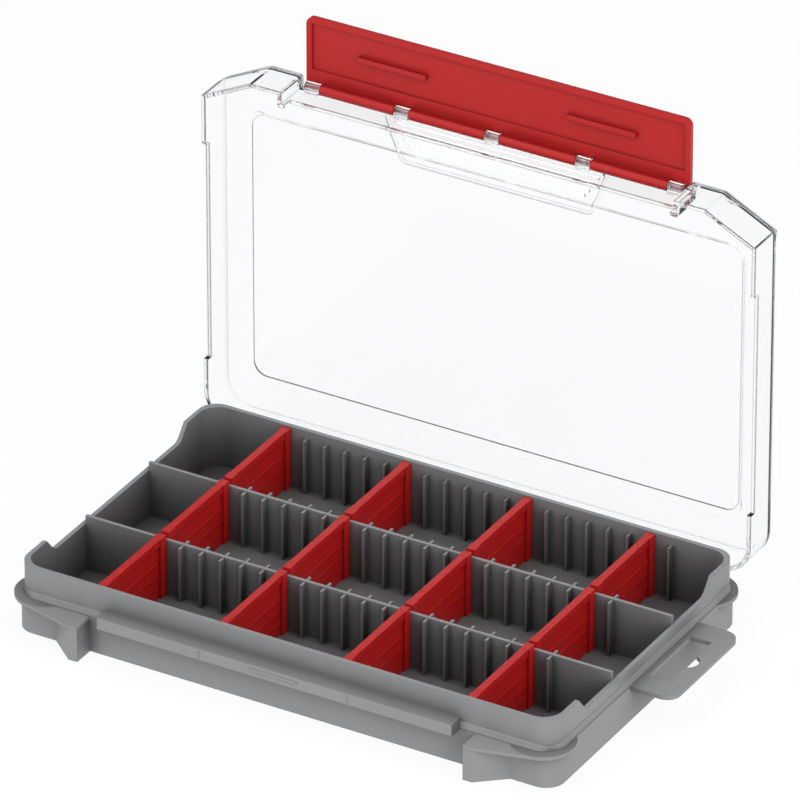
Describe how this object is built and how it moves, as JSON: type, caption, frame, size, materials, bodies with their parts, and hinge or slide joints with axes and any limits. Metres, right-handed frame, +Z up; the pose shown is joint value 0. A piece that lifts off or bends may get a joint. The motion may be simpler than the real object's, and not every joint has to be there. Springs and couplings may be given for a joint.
{
  "type": "compartment storage box",
  "caption": "Flat grey compartment box with a hinged clear lid, a wide red latch and loose red dividers.",
  "frame": {"origin": "centre of the tray's underside", "axes": "+X along the box to the hang tab, +Y to the hinge at the back, +Z up"},
  "size_m": [0.2595, 0.1761, 0.1996],
  "materials": {
    "grey_plastic": "fine matte moulding",
    "clear_plastic": "clear polished",
    "red_plastic": "satin",
    "pin_steel": "drawn wire"
  },
  "bodies": {
    "tray": {"tray": "grey_plastic", "hinge_pin": "pin_steel"},
    "lid": {"lid": "clear_plastic", "latch_pin": "clear_plastic"},
    "latch": {"latch": "red_plastic"},
    "divider_1_1": {"divider_1_1": "red_plastic"},
    "divider_1_2": {"divider_1_2": "red_plastic"},
    "divider_1_3": {"divider_1_3": "red_plastic"},
    "divider_1_4": {"divider_1_4": "red_plastic"},
    "divider_2_1": {"divider_2_1": "red_plastic"},
    "divider_2_2": {"divider_2_2": "red_plastic"},
    "divider_2_3": {"divider_2_3": "red_plastic"},
    "divider_2_4": {"divider_2_4": "red_plastic"},
    "divider_3_1": {"divider_3_1": "red_plastic"},
    "divider_3_2": {"divider_3_2": "red_plastic"},
    "divider_3_3": {"divider_3_3": "red_plastic"},
    "divider_3_4": {"divider_3_4": "red_plastic"}
  },
  "joints": [
    {"name": "lid_hinge", "type": "hinge", "parent": "tray", "child": "lid", "pos_m": [0, 0.0762, 0.017], "axis": [-1, 0, 0], "range_deg": [-90, 0]},
    {"name": "latch_hinge", "type": "hinge", "parent": "lid", "child": "latch", "pos_m": [0, 0.089, 0.1708], "axis": [-1, 0, 0], "range_deg": [-90, 0]},
    {"name": "divider_1_1_lift", "type": "slide", "parent": "tray", "child": "divider_1_1", "axis": [0, 0, 1], "range_m": [0, 0.03]},
    {"name": "divider_1_2_lift", "type": "slide", "parent": "tray", "child": "divider_1_2", "axis": [0, 0, 1], "range_m": [0, 0.03]},
    {"name": "divider_1_3_lift", "type": "slide", "parent": "tray", "child": "divider_1_3", "axis": [0, 0, 1], "range_m": [0, 0.03]},
    {"name": "divider_1_4_lift", "type": "slide", "parent": "tray", "child": "divider_1_4", "axis": [0, 0, 1], "range_m": [0, 0.03]},
    {"name": "divider_2_1_lift", "type": "slide", "parent": "tray", "child": "divider_2_1", "axis": [0, 0, 1], "range_m": [0, 0.03]},
    {"name": "divider_2_2_lift", "type": "slide", "parent": "tray", "child": "divider_2_2", "axis": [0, 0, 1], "range_m": [0, 0.03]},
    {"name": "divider_2_3_lift", "type": "slide", "parent": "tray", "child": "divider_2_3", "axis": [0, 0, 1], "range_m": [0, 0.03]},
    {"name": "divider_2_4_lift", "type": "slide", "parent": "tray", "child": "divider_2_4", "axis": [0, 0, 1], "range_m": [0, 0.03]},
    {"name": "divider_3_1_lift", "type": "slide", "parent": "tray", "child": "divider_3_1", "axis": [0, 0, 1], "range_m": [0, 0.03]},
    {"name": "divider_3_2_lift", "type": "slide", "parent": "tray", "child": "divider_3_2", "axis": [0, 0, 1], "range_m": [0, 0.03]},
    {"name": "divider_3_3_lift", "type": "slide", "parent": "tray", "child": "divider_3_3", "axis": [0, 0, 1], "range_m": [0, 0.03]},
    {"name": "divider_3_4_lift", "type": "slide", "parent": "tray", "child": "divider_3_4", "axis": [0, 0, 1], "range_m": [0, 0.03]}
  ]
}
